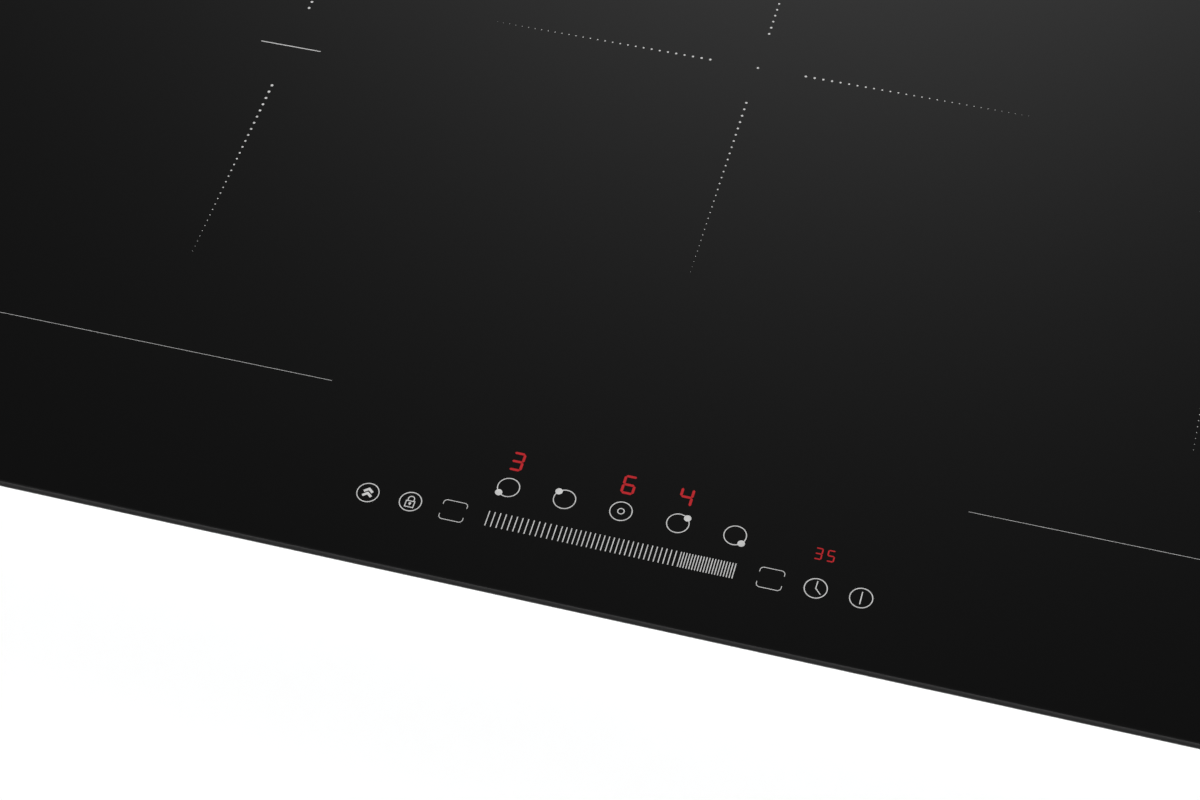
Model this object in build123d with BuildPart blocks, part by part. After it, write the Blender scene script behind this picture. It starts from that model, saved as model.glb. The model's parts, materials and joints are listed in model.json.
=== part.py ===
from build123d import *
import math
import os

# Built-in induction cooktop with a frameless glass top, in millimetres.
# The origin is the middle of the tray's underside, +Z is up and the cook stands at -Y.
# Small hidden rounds are drawn with flat sides, which keeps their meshes light.

# Glass top
glass_width = 770.0
glass_depth = 520.0
glass_thick = 4.0
glass_corner = 5.0
glass_bevel = 0.4

# Worktop cut-out and the foam seal that lies on the worktop around it
overhang_side = 10.0
overhang_front = 15.0
cutout_gap = 5.0
seal_width = 8.0
seal_thick = 2.5
seal_inset = 1.0

# Pressed steel tray: a deep tub below a wider, shallower rim
tray_sheet = 1.0
tray_height = 50.0
tray_corner = 8.0
step_height = 22.0
step_width = 25.0
rib_length = 150.0
rib_width = 16.0
rib_rise = 1.5
rib_angle = 45.0
rib_y = -70.0
rib_pitch = 36.0
rib_count = 5
exhaust_slots = 8
exhaust_pitch = 11.0
exhaust_width = 3.5
exhaust_height = 12.0

# Steel frame bonded under the glass, with a skirt that the tray is screwed to
frame_sheet = 1.0
frame_flange = 8.0
frame_skirt = 10.0
frame_gap = 0.2
bond_thick = 1.0
bond_width = 5.0
bond_inset = 1.0

# Cooking zones: two coils on each side and a large one in the middle
centre_zone_x = -3.7
centre_zone_y = 37.7
bay_margin = 129.7
zone_gap = 4.0
pair_gap = 13.4
side_coil_radius = 80.0
side_coil_bore = 24.0
centre_coil_bore = 34.0
coil_sides = 24
winding_thick = 4.8
winding_gap = 0.3
former_floor = 3.5
former_stop = 2.0
former_wall = 1.7
insulation_thick = 1.2
sensor_radius = 6.0
sensor_sides = 6
sensor_gap = 0.3
ferrite_count = 6
ferrite_width = 14.0
ferrite_thick = 2.5
ferrite_gap = 0.3
ferrite_margin = 3.0

# Aluminium plates that carry the coils, on hexagonal posts
plate_sheet = 1.2
plate_flange = 6.0
plate_margin = 4.0
post_radius = 4.5
post_inset = 8.5

# Coil leads
lead_radius = 2.0
lead_hole_gap = 1.0
lead_reach_x = 60.0
lead_reach_y = 45.0
centre_lead_inset = 10.0
centre_lead_y = 10.0
centre_lead_drop = 17.0
centre_lead_bend = 8.0

# Cooling blowers: grille, volute housing, motor and bladed wheel
fan_shift_x = 7.0
fan_y = 108.0
grille_radius = 35.0
grille_sides = 24
grille_flange = 3.0
grille_sheet = 1.0
grille_gap = 0.2
grille_slots = 12
grille_slot_width = 4.0
grille_slot_length = 18.0
grille_slot_radius = 22.0
volute_radius = 32.0
volute_growth = 7.0
tongue_angle = 35.0
volute_flats = 8
volute_outlet = 50.0
volute_wall = 1.5
blower_height = 30.0
inlet_radius = 25.0
wheel_clearance = 1.5
wheel_sides = 20
wheel_bottom_gap = 2.5
wheel_top_gap = 3.5
wheel_disc = 1.2
wheel_ring = 2.2
blade_count = 18
blade_thick = 0.9
blade_length = 8.0
blade_angle = 35.0
hub_sides = 16
hub_wall = 1.5
hub_floor = 3.0
motor_radius = 11.0
motor_sides = 12
motor_gap = 1.0
motor_height = 12.0
shaft_radius = 2.0
shaft_gap = 0.05

# Power boards, one on each side
board_thick = 1.6
board_lift = 5.0
board_width = 138.0
board_depth = 200.0
board_gap = 8.0
standoff_radius = 3.0
standoff_inset = 6.0
package_width = 16.0
package_depth = 20.0
package_thick = 4.5
package_pitch = 32.0
package_count = 4
sink_width = 44.0
sink_length = 120.0
sink_base = 4.0
sink_fin = 1.4
sink_fin_height = 20.0
sink_fins = 8
capacitor_width = 32.0
capacitor_depth = 16.0
capacitor_height = 24.0
capacitor_pitch = 24.0
capacitor_back = 20.0
capacitor_count = 3
capacitor_x = 28.0
choke_x = 36.0
choke_radius = 16.0
choke_bore = 7.0
choke_sides = 10
choke_height = 15.0
choke_back = 135.0

# Mains filter board, between the blowers
filter_x = -40.0
filter_gap = 21.0
filter_width = 110.0
filter_depth = 70.0
filter_choke_x = -25.0
filter_capacitor_x = 25.0

# Terminal box let into the tray floor, with a lid that opens downwards
terminal_width = 92.0
terminal_depth = 48.0
terminal_gap = 6.0
terminal_height = 29.0
terminal_wall = 2.0
terminal_flange = 4.0
lid_gap = 0.3
lid_sheet = 2.0
lid_barrel_radius = 2.4
lid_barrel_sides = 12
lid_pin_radius = 1.2
lid_pin_gap = 0.05
lid_pin_reach = 1.7
lid_notch = 14.0
lid_notch_depth = 2.5
block_margin = 6.0
block_depth = 20.0
block_height = 16.0
block_front = 7.0
block_ways = 5
block_pitch = 15.0
block_well = 5.6
block_well_depth = 6.0
block_screw = 5.2
block_screw_head = 3.0
block_wire = 4.4
block_wire_depth = 9.0
block_wire_drop = 5.0

# Cable gland in the back wall
gland_bore = 6.25
gland_radius = 7.8
gland_flange_radius = 9.2
gland_flange = 3.0
gland_thread = 10.0
gland_gap = 0.05
gland_sides = 12
gland_nut_radius = 9.4
gland_nut_length = 7.0

# Swivelling clamps that grip the worktop from below
clamp_inset = 125.0
clamp_width = 14.0
clamp_reach = 24.0
clamp_corner = 4.0
clamp_sheet = 2.0
clamp_lip = 7.0
clamp_lip_height = 1.5
clamp_collar_radius = 4.5
clamp_drop = 3.2
clamp_run = 0.1
bolt_radius = 2.0
bolt_gap = 0.05
bolt_head_radius = 4.0
bolt_head = 3.0
bolt_end = 2.0
bolt_hole_sides = 8
nut_width = 9.0
nut_height = 3.2

# Touch controls under the front of the glass, in rows measured from the glass's front edge
slider_row = 31.3
slider_pads = 9
slider_pad_pitch = 12.0
outer_key_x = 92.0
outer_key_pitch = 18.0
zone_key_rise = 16.3
zone_key_pitch = 23.4
zone_keys = 5
digit_rise = 13.2
digit_width = 8.5
digit_depth = 12.0
digit_height = 5.9
timer_x = 83.0
timer_width = 10.5
timer_depth = 8.5
touch_size = 6.0
panel_margin = 4.2
panel_front_gap = 0.6
panel_half_width = 119.0
panel_wall = 2.0
panel_drop = 12.0
panel_leg = 8.0
panel_leg_inset = 9.0
panel_board_gap = 0.5
panel_board_drop = 6.4

# Levels, outlines and places that follow from the sizes above
cutout_width = glass_width - 2 * overhang_side
cutout_depth = glass_depth - 2 * overhang_front
tray_width = cutout_width - 2 * cutout_gap
tray_depth = cutout_depth - 2 * cutout_gap
tub_width = tray_width - 2 * step_width
tub_depth = tray_depth - 2 * step_width
tub_back = tub_depth / 2
ledge_y = (tub_depth + step_width) / 2
front_edge = -glass_depth / 2
bond_level = tray_height + frame_sheet
glass_level = bond_level + bond_thick
insulation_level = glass_level - insulation_thick
winding_level = insulation_level - winding_thick
former_level = winding_level - former_floor
plate_level = former_level - plate_sheet
board_level = tray_sheet + board_lift
board_top = board_level + board_thick

side_former = side_coil_radius + winding_gap + former_stop
side_zone_x = tub_width / 2 - bay_margin
centre_former = side_zone_x - side_former - zone_gap - abs(centre_zone_x)
centre_coil_radius = centre_former - winding_gap - former_stop
side_zone_y = side_former + pair_gap / 2
zones = {
    "left_front": (-side_zone_x, -side_zone_y, side_coil_radius, side_coil_bore),
    "left_rear": (-side_zone_x, side_zone_y, side_coil_radius, side_coil_bore),
    "centre": (centre_zone_x, centre_zone_y, centre_coil_radius, centre_coil_bore),
    "right_rear": (side_zone_x, side_zone_y, side_coil_radius, side_coil_bore),
    "right_front": (side_zone_x, -side_zone_y, side_coil_radius, side_coil_bore),
}
bays = {"left": -side_zone_x, "right": side_zone_x}
side_plate_half = side_former + plate_margin
centre_plate_half = centre_coil_radius - plate_margin
side_plate = (2 * side_plate_half, 2 * (side_zone_y + side_plate_half))
centre_plate = (2 * centre_plate_half, 2 * (centre_former + plate_margin))
plates = {
    "left": (-side_zone_x, 0.0, *side_plate),
    "centre": (centre_zone_x, centre_zone_y, *centre_plate),
    "right": (side_zone_x, 0.0, *side_plate),
}

os.makedirs("parts", exist_ok=True)


def level(height):
    return Plane.XY.offset(height)


def keep(piece, label):
    piece.part.label = label
    export_step(piece.part, f"parts/{label}.step")


def edge_outline(width, depth, corner, band, height):
    with BuildSketch(level(height)) as outline:
        Rectangle(width, depth)
        chamfer(outline.vertices(), corner)
        Rectangle(width - 2 * band, depth - 2 * band, mode=Mode.SUBTRACT)
    return outline.sketch


def edge_ring(width, depth, corner, band, height, thick):
    with BuildPart() as ring:
        extrude(edge_outline(width, depth, corner, band, height), amount=thick)
    return ring


def corner_places(x, y, width, depth, inset):
    half_x = width / 2 - inset
    half_y = depth / 2 - inset
    return [(x + i * half_x, y + j * half_y) for i in (-1, 1) for j in (-1, 1)]


# Glass top with ground edges
with BuildPart() as glass_top:
    with BuildSketch(level(glass_level)):
        RectangleRounded(glass_width, glass_depth, glass_corner)
    extrude(amount=glass_thick)
    chamfer(glass_top.faces().sort_by(Axis.Z)[-1].edges(), glass_bevel)
    chamfer(glass_top.faces().sort_by(Axis.Z)[0].edges(), glass_bevel)
keep(glass_top, "glass_top")

# Foam seal, bond and frame under the glass
seal_level = glass_level - seal_thick
seal_outline = (glass_width - 2 * seal_inset, glass_depth - 2 * seal_inset, glass_corner - seal_inset)
worktop_seal = edge_ring(*seal_outline, seal_width, seal_level, seal_thick)
keep(worktop_seal, "worktop_seal")

bond_outline = (tray_width - 2 * bond_inset, tray_depth - 2 * bond_inset, tray_corner - bond_inset)
bond_bead = edge_ring(*bond_outline, bond_width, bond_level, bond_thick)
keep(bond_bead, "bond_bead")

skirt_inset = tray_sheet + frame_gap
with BuildPart() as glass_frame:
    flange = edge_outline(tray_width, tray_depth, tray_corner, frame_flange, tray_height)
    extrude(flange, amount=frame_sheet)
    # Skirts are folded down from the flange, so the frame is open at its corners
    with BuildSketch(level(tray_height)):
        with GridLocations(0, tray_depth - 2 * skirt_inset - frame_sheet, 1, 2):
            Rectangle(tray_width - 2 * tray_corner, frame_sheet)
        with GridLocations(tray_width - 2 * skirt_inset - frame_sheet, 0, 2, 1):
            Rectangle(frame_sheet, tray_depth - 2 * tray_corner)
    extrude(amount=-frame_skirt)
keep(glass_frame, "glass_frame")

# Tray with its ribs and openings
fans = {side: (x + fan_shift_x, fan_y) for side, x in bays.items()}
clamp_x = tub_width / 2 - clamp_inset
clamp_places = [(i * clamp_x, j * ledge_y) for i in (-1, 1) for j in (-1, 1)]
terminal_y = tub_back - tray_sheet - terminal_gap - terminal_wall - terminal_depth / 2
gland_level = step_height / 2
gland_hole = (gland_radius + gland_gap, gland_sides, False)
bolt_hole = (bolt_radius + bolt_gap, bolt_hole_sides, False)
with BuildPart() as base_tray:
    with BuildSketch():
        RectangleRounded(tub_width, tub_depth, tray_corner)
    extrude(amount=step_height)
    with BuildSketch(level(step_height)):
        RectangleRounded(tray_width, tray_depth, tray_corner)
    extrude(amount=tray_height - step_height)
    with BuildSketch(level(tray_sheet)):
        RectangleRounded(tub_width - 2 * tray_sheet, tub_depth - 2 * tray_sheet, tray_corner - tray_sheet)
    extrude(amount=step_height, mode=Mode.SUBTRACT)
    with BuildSketch(level(step_height + tray_sheet)):
        RectangleRounded(tray_width - 2 * tray_sheet, tray_depth - 2 * tray_sheet, tray_corner - tray_sheet)
    extrude(amount=tray_height - step_height, mode=Mode.SUBTRACT)
    # Stiffening ribs pressed up from below, with sloping sides
    with BuildSketch(level(tray_sheet)):
        with Locations((0, rib_y)):
            with GridLocations(0, rib_pitch, 1, rib_count):
                Rectangle(rib_length, rib_width)
    extrude(amount=rib_rise, taper=rib_angle)
    with BuildSketch():
        with Locations((0, rib_y)):
            with GridLocations(0, rib_pitch, 1, rib_count):
                Rectangle(rib_length, rib_width)
    extrude(amount=rib_rise, taper=rib_angle, mode=Mode.SUBTRACT)
    # Blower inlets and the terminal opening in the floor, bolt holes in the ledge
    with BuildSketch():
        with Locations(*fans.values()):
            RegularPolygon(grille_radius, grille_sides)
        with Locations((0, terminal_y)):
            Rectangle(terminal_width, terminal_depth)
    extrude(amount=tray_sheet, mode=Mode.SUBTRACT)
    with BuildSketch(level(step_height)):
        with Locations(*clamp_places):
            RegularPolygon(*bolt_hole)
    extrude(amount=tray_sheet, mode=Mode.SUBTRACT)
    # Warm air leaves through the front wall of the tub
    with BuildSketch(Plane.XZ.offset(tub_back)):
        with Locations(*[(x, step_height / 2) for x in bays.values()]):
            with GridLocations(exhaust_pitch, 0, exhaust_slots, 1):
                Rectangle(exhaust_width, exhaust_height)
    extrude(amount=-tray_sheet, mode=Mode.SUBTRACT)
    # Cable gland hole in the back wall
    with BuildSketch(Plane.XZ.offset(-tub_back)):
        with Locations((0, gland_level)):
            RegularPolygon(*gland_hole)
    extrude(amount=tray_sheet, mode=Mode.SUBTRACT)
keep(base_tray, "base_tray")

# Coil plates with folded edges and holes for the leads, on posts
centre_lead_x = centre_zone_x + centre_plate_half - centre_lead_inset
lead_places = {
    side: [(x + lead_reach_x, j * (side_zone_y - lead_reach_y)) for j in (-1, 1)] for side, x in bays.items()
}
lead_places["centre"] = [(centre_lead_x, centre_lead_y)]
lead_hole = 2 * (lead_radius + lead_hole_gap)
for side, (x, y, width, depth) in plates.items():
    with BuildPart() as coil_plate:
        with BuildSketch(Plane((x, y, plate_level))):
            Rectangle(width, depth)
        extrude(amount=plate_sheet)
        with BuildSketch(Plane((x, y, plate_level))):
            Rectangle(width, depth)
            Rectangle(width - 2 * plate_sheet, depth - 2 * plate_sheet, mode=Mode.SUBTRACT)
        extrude(amount=plate_sheet - plate_flange)
        with BuildSketch(level(plate_level)):
            with Locations(*lead_places[side]):
                Rectangle(lead_hole, lead_hole)
        extrude(amount=plate_sheet, mode=Mode.SUBTRACT)
    keep(coil_plate, f"{side}_coil_plate")

post_places = [place for plate in plates.values() for place in corner_places(*plate, post_inset)]
with BuildPart() as plate_posts:
    with BuildSketch(level(tray_sheet)):
        with Locations(*post_places):
            RegularPolygon(post_radius, 6)
    extrude(amount=plate_level - tray_sheet)
keep(plate_posts, "plate_posts")

# Coils: a former of radial arms with ferrites let in from below, and the flat winding on top
arm_width = ferrite_width + 2 * (ferrite_gap + former_wall)
sensor_hole = (sensor_radius + sensor_gap, sensor_sides, False)
for zone, (x, y, radius, bore) in zones.items():
    arm_length = radius + winding_gap + former_stop
    ferrite_length = radius - bore - 2 * ferrite_margin
    with BuildPart() as former:
        with BuildSketch(Plane((x, y, former_level))):
            with PolarLocations(arm_length / 2, ferrite_count):
                Rectangle(arm_length, arm_width)
            RegularPolygon(*sensor_hole, mode=Mode.SUBTRACT)
        extrude(amount=former_floor)
        with BuildSketch(Plane((x, y, winding_level))):
            with PolarLocations(arm_length - former_stop / 2, ferrite_count):
                Rectangle(former_stop, arm_width)
        extrude(amount=winding_thick)
        with BuildSketch(Plane((x, y, former_level))):
            with PolarLocations((radius + bore) / 2, ferrite_count):
                Rectangle(ferrite_length + 2 * ferrite_gap, ferrite_width + 2 * ferrite_gap)
        extrude(amount=ferrite_thick + ferrite_gap, mode=Mode.SUBTRACT)
    keep(former, f"{zone}_coil_former")
    with BuildPart() as winding:
        with BuildSketch(Plane((x, y, winding_level))):
            RegularPolygon(radius, coil_sides)
            RegularPolygon(bore, coil_sides, mode=Mode.SUBTRACT)
        extrude(amount=winding_thick)
    keep(winding, f"{zone}_winding")

with BuildPart() as ferrite_bars:
    for x, y, radius, bore in zones.values():
        with BuildSketch(Plane((x, y, former_level))):
            with PolarLocations((radius + bore) / 2, ferrite_count):
                Rectangle(radius - bore - 2 * ferrite_margin, ferrite_width)
        extrude(amount=ferrite_thick)
keep(ferrite_bars, "ferrite_bars")

with BuildPart() as insulation_sheets:
    for x, y, width, depth in plates.values():
        with BuildSketch(Plane((x, y, insulation_level))):
            Rectangle(width, depth)
        extrude(amount=insulation_thick)
keep(insulation_sheets, "insulation_sheets")

with BuildPart() as temperature_sensors:
    with BuildSketch(level(former_level)):
        with Locations(*[(x, y) for x, y, radius, bore in zones.values()]):
            RegularPolygon(sensor_radius, sensor_sides, False)
    extrude(amount=insulation_level - former_level)
keep(temperature_sensors, "temperature_sensors")

# Leads run from the coils to the power boards, the middle coil's to the right-hand board
centre_lead_end = bays["right"] - board_width / 2 + standoff_inset
with BuildPart() as coil_leads:
    with BuildSketch(level(board_top)):
        with Locations(*lead_places["left"], *lead_places["right"]):
            RegularPolygon(lead_radius, 6)
    extrude(amount=former_level - board_top)
    with BuildLine() as route:
        FilletPolyline(
            (centre_lead_x, centre_lead_y, former_level),
            (centre_lead_x, centre_lead_y, former_level - centre_lead_drop),
            (centre_lead_end, centre_lead_y, former_level - centre_lead_drop),
            (centre_lead_end, centre_lead_y, board_top),
            radius=centre_lead_bend,
        )
    with BuildSketch(Plane((centre_lead_x, centre_lead_y, former_level))):
        RegularPolygon(lead_radius, 6)
    sweep(path=route.wires()[0])
keep(coil_leads, "coil_leads")

# Blowers
airway_height = blower_height - 2 * volute_wall
housing_level = tray_sheet + grille_sheet
airway_level = housing_level + volute_wall
motor_top = airway_level + airway_height
wheel_level = airway_level + wheel_bottom_gap
wheel_top = motor_top - wheel_top_gap
wheel_radius = volute_radius - volute_wall - wheel_clearance
blade_middle = wheel_radius - blade_length / 2
hub_radius = motor_radius + motor_gap + hub_wall
hub_level = motor_top - motor_height - motor_gap - hub_floor
tongue_x = volute_radius * math.cos(math.radians(tongue_angle)) - volute_growth / 2
outlet_x = volute_radius + 3.5 * volute_growth
mouth_x = (tongue_x + outlet_x) / 2


def volute(plane, inset):
    # Each quarter turn has its own centre and a larger radius than the one before
    half = volute_growth / 2
    quarter = 360 / 4
    points = []
    for i, (x, y) in enumerate([(-half, half), (-half, -half), (half, -half), (half, half)]):
        radius = volute_radius - inset + i * volute_growth
        start = tongue_angle if i == 0 else quarter * i
        step = (quarter * (i + 1) - start) / volute_flats
        for k in range(volute_flats):
            angle = math.radians(start + k * step)
            points.append((x + radius * math.cos(angle), y + radius * math.sin(angle)))
    tongue_y = points[0][1]
    points += [(outlet_x - inset, half), (outlet_x - inset, volute_outlet), (tongue_x + inset, volute_outlet)]
    if inset:
        points.append((tongue_x + inset, tongue_y))
    with BuildSketch(plane) as outline:
        with BuildLine():
            Polyline(*points, close=True)
        make_face()
    return outline.sketch


for side, (x, y) in fans.items():
    with BuildPart() as fan_grille:
        with BuildSketch(Plane((x, y, 0))):
            RegularPolygon(grille_radius - grille_gap, grille_sides)
        extrude(amount=tray_sheet)
        with BuildSketch(Plane((x, y, tray_sheet))):
            RegularPolygon(grille_radius + grille_flange, grille_sides)
        extrude(amount=grille_sheet)
        with BuildSketch(Plane((x, y, 0))):
            with PolarLocations(grille_slot_radius, grille_slots):
                Rectangle(grille_slot_length, grille_slot_width)
        extrude(amount=tray_sheet + grille_sheet, mode=Mode.SUBTRACT)
    keep(fan_grille, f"{side}_fan_grille")

    # The outlet faces the cook, so the volute's own axes are turned half round
    with BuildPart() as fan_housing:
        outer_plane = Plane((x, y, housing_level), x_dir=(-1, 0, 0), z_dir=(0, 0, 1))
        extrude(volute(outer_plane, 0), amount=blower_height)
        extrude(volute(outer_plane.offset(volute_wall), volute_wall), amount=airway_height, mode=Mode.SUBTRACT)
        with BuildSketch(Plane((x, y, housing_level))):
            RegularPolygon(inlet_radius, hub_sides)
        extrude(amount=volute_wall, mode=Mode.SUBTRACT)
    keep(fan_housing, f"{side}_fan_housing")

    with BuildPart() as fan_motor:
        with BuildSketch(Plane((x, y, motor_top))):
            RegularPolygon(motor_radius, motor_sides)
        extrude(amount=-motor_height)
        with BuildSketch(Plane((x, y, hub_level - motor_gap))):
            Circle(shaft_radius)
        extrude(amount=motor_top - motor_height - hub_level + motor_gap)
    keep(fan_motor, f"{side}_fan_motor")

    with BuildPart() as fan_wheel:
        with BuildSketch(Plane((x, y, hub_level))):
            RegularPolygon(hub_radius, hub_sides)
        extrude(amount=wheel_top - hub_level)
        with BuildSketch(Plane((x, y, wheel_top))):
            RegularPolygon(wheel_radius, wheel_sides)
        extrude(amount=-wheel_disc)
        with BuildSketch(Plane((x, y, wheel_level))):
            RegularPolygon(wheel_radius, wheel_sides)
            RegularPolygon(wheel_radius - wheel_ring, wheel_sides, mode=Mode.SUBTRACT)
        extrude(amount=wheel_disc)
        with BuildSketch(Plane((x, y, wheel_level))):
            with PolarLocations(blade_middle, blade_count):
                Rectangle(blade_length, blade_thick, rotation=blade_angle)
        extrude(amount=wheel_top - wheel_level)
        with BuildSketch(Plane((x, y, hub_level + hub_floor))):
            RegularPolygon(motor_radius + motor_gap, hub_sides)
        extrude(amount=wheel_top - hub_level, mode=Mode.SUBTRACT)
        with BuildSketch(Plane((x, y, hub_level))):
            Circle(shaft_radius + shaft_gap)
        extrude(amount=hub_floor, mode=Mode.SUBTRACT)
    keep(fan_wheel, f"{side}_fan_wheel")

# Power boards with their heat sinks in front of the blowers' mouths
board_back = fan_y - volute_outlet - board_gap
board_y = board_back - board_depth / 2
sink_shift = fan_shift_x - mouth_x
sink_y = board_back - sink_length / 2
sink_level = board_top + package_thick
sink_fin_pitch = (sink_width - sink_fin) / (sink_fins - 1)
for side, x in bays.items():
    with BuildPart() as power_board:
        with BuildSketch(Plane((x, board_y, board_level))):
            Rectangle(board_width, board_depth)
        extrude(amount=board_thick)
    keep(power_board, f"{side}_power_board")
    with BuildPart() as heat_sink:
        with BuildSketch(Plane((x + sink_shift, sink_y, sink_level))):
            Rectangle(sink_width, sink_length)
        extrude(amount=sink_base)
        with BuildSketch(Plane((x + sink_shift, sink_y, sink_level + sink_base))):
            with GridLocations(sink_fin_pitch, 0, sink_fins, 1):
                Rectangle(sink_fin, sink_length)
        extrude(amount=sink_fin_height)
    keep(heat_sink, f"{side}_heat_sink")

with BuildPart() as power_transistors:
    for x in bays.values():
        with BuildSketch(Plane((x + sink_shift, sink_y, board_top))):
            with GridLocations(0, package_pitch, 1, package_count):
                Rectangle(package_width, package_depth)
        extrude(amount=package_thick)
keep(power_transistors, "power_transistors")

terminal_front = terminal_y - terminal_depth / 2
filter_y = terminal_front - filter_gap - filter_depth / 2 - terminal_wall
capacitor_places = [
    (x + capacitor_x, board_back - capacitor_back - i * capacitor_pitch)
    for x in bays.values()
    for i in range(capacitor_count)
]
capacitor_places.append((filter_x + filter_capacitor_x, filter_y))
with BuildPart() as capacitors:
    with BuildSketch(level(board_top)):
        with Locations(*capacitor_places):
            Rectangle(capacitor_width, capacitor_depth)
    extrude(amount=capacitor_height)
keep(capacitors, "capacitors")

choke_places = [(x + choke_x, board_back - choke_back) for x in bays.values()]
choke_places.append((filter_x + filter_choke_x, filter_y))
with BuildPart() as chokes:
    with BuildSketch(level(board_top)):
        with Locations(*choke_places):
            RegularPolygon(choke_radius, choke_sides)
        with Locations(*choke_places):
            RegularPolygon(choke_bore, choke_sides, mode=Mode.SUBTRACT)
    extrude(amount=choke_height)
keep(chokes, "chokes")

with BuildPart() as filter_board:
    with BuildSketch(Plane((filter_x, filter_y, board_level))):
        Rectangle(filter_width, filter_depth)
    extrude(amount=board_thick)
keep(filter_board, "filter_board")

standoff_places = corner_places(filter_x, filter_y, filter_width, filter_depth, standoff_inset)
for x in bays.values():
    standoff_places += corner_places(x, board_y, board_width, board_depth, standoff_inset)
with BuildPart() as board_standoffs:
    with BuildSketch(level(tray_sheet)):
        with Locations(*standoff_places):
            RegularPolygon(standoff_radius, 6)
    extrude(amount=board_lift)
keep(board_standoffs, "board_standoffs")

# Terminal box with its block and lid
terminal_back = terminal_y + terminal_depth / 2
terminal_middle = Plane((0, terminal_y, tray_sheet))
lid_axis_y = terminal_front + lid_gap + lid_barrel_radius
lid_axis_level = lid_gap + lid_barrel_radius
lid_axis = (lid_axis_y, lid_axis_level)
with BuildPart() as terminal_box:
    with BuildSketch(terminal_middle):
        Rectangle(terminal_width + 2 * terminal_wall, terminal_depth + 2 * terminal_wall)
    extrude(amount=terminal_height)
    with BuildSketch(terminal_middle):
        Rectangle(terminal_width + 2 * terminal_flange, terminal_depth + 2 * terminal_wall)
    extrude(amount=terminal_wall)
    with BuildSketch(terminal_middle):
        Rectangle(terminal_width, terminal_depth)
    extrude(amount=terminal_height - terminal_wall, mode=Mode.SUBTRACT)
    with BuildSketch(Plane.YZ.offset(-terminal_width / 2 - lid_pin_reach)):
        with Locations(lid_axis):
            Circle(lid_pin_radius + lid_pin_gap)
    extrude(amount=terminal_width + 2 * lid_pin_reach, mode=Mode.SUBTRACT)
    with BuildSketch(Plane.XZ.offset(-terminal_back)):
        with Locations((0, gland_level)):
            RegularPolygon(*gland_hole)
    extrude(amount=-terminal_wall, mode=Mode.SUBTRACT)
keep(terminal_box, "terminal_box")

block_y = terminal_front + block_front + block_depth / 2
block_top = tray_sheet + terminal_height - terminal_wall
block_level = block_top - block_height
block_rear = block_y + block_depth / 2
with BuildPart() as terminal_block:
    with BuildSketch(Plane((0, block_y, block_level))):
        Rectangle(terminal_width - 2 * block_margin, block_depth)
    extrude(amount=block_height)
    with BuildSketch(Plane((0, block_y, block_level))):
        with GridLocations(block_pitch, 0, block_ways, 1):
            Rectangle(block_well, block_well)
    extrude(amount=block_well_depth, mode=Mode.SUBTRACT)
    with BuildSketch(Plane.XZ.offset(-block_rear)):
        with Locations((0, block_top - block_wire_drop)):
            with GridLocations(block_pitch, 0, block_ways, 1):
                Rectangle(block_wire, block_wire)
    extrude(amount=block_wire_depth, mode=Mode.SUBTRACT)
keep(terminal_block, "terminal_block")

with BuildPart() as terminal_screws:
    with BuildSketch(Plane((0, block_y, block_level + block_well_depth))):
        with GridLocations(block_pitch, 0, block_ways, 1):
            RegularPolygon(block_screw / 2, 8)
    extrude(amount=-block_screw_head)
keep(terminal_screws, "terminal_screws")

lid_width = terminal_width - 2 * lid_gap
lid_back = terminal_back - lid_gap
lid_pin_end = terminal_width / 2 + lid_pin_reach - lid_gap
with BuildPart() as terminal_cover:
    with BuildSketch(level(lid_gap)):
        with Locations((0, (lid_axis_y + lid_back) / 2)):
            Rectangle(lid_width, lid_back - lid_axis_y)
        with Locations((0, lid_back)):
            Rectangle(lid_notch, 2 * lid_notch_depth, mode=Mode.SUBTRACT)
    extrude(amount=lid_sheet)
    with BuildSketch(Plane.YZ.offset(-lid_width / 2)):
        with Locations(lid_axis):
            RegularPolygon(lid_barrel_radius, lid_barrel_sides)
    extrude(amount=lid_width)
    with BuildSketch(Plane.YZ.offset(-lid_pin_end)):
        with Locations(lid_axis):
            Circle(lid_pin_radius)
    extrude(amount=2 * lid_pin_end)
keep(terminal_cover, "terminal_cover")

# Cable gland through the tray wall into the terminal box
gland_end = tub_back + gland_flange + gland_thread
gland_length = gland_end - terminal_back
with BuildPart() as cable_gland:
    with BuildSketch(Plane.XZ.offset(-terminal_back)):
        with Locations((0, gland_level)):
            RegularPolygon(gland_radius, gland_sides, major_radius=False)
    extrude(amount=-gland_length)
    with BuildSketch(Plane.XZ.offset(-tub_back)):
        with Locations((0, gland_level)):
            RegularPolygon(gland_flange_radius, 6, major_radius=False)
    extrude(amount=-gland_flange)
    with BuildSketch(Plane.XZ.offset(-terminal_back)):
        with Locations((0, gland_level)):
            Circle(gland_bore)
    extrude(amount=-gland_length, mode=Mode.SUBTRACT)
keep(cable_gland, "cable_gland")

with BuildPart() as gland_nut:
    with BuildSketch(Plane.XZ.offset(-tub_back - gland_flange)):
        with Locations((0, gland_level)):
            RegularPolygon(gland_nut_radius, 6, major_radius=False)
            RegularPolygon(*gland_hole, mode=Mode.SUBTRACT)
    extrude(amount=-gland_nut_length)
keep(gland_nut, "gland_nut")

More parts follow.
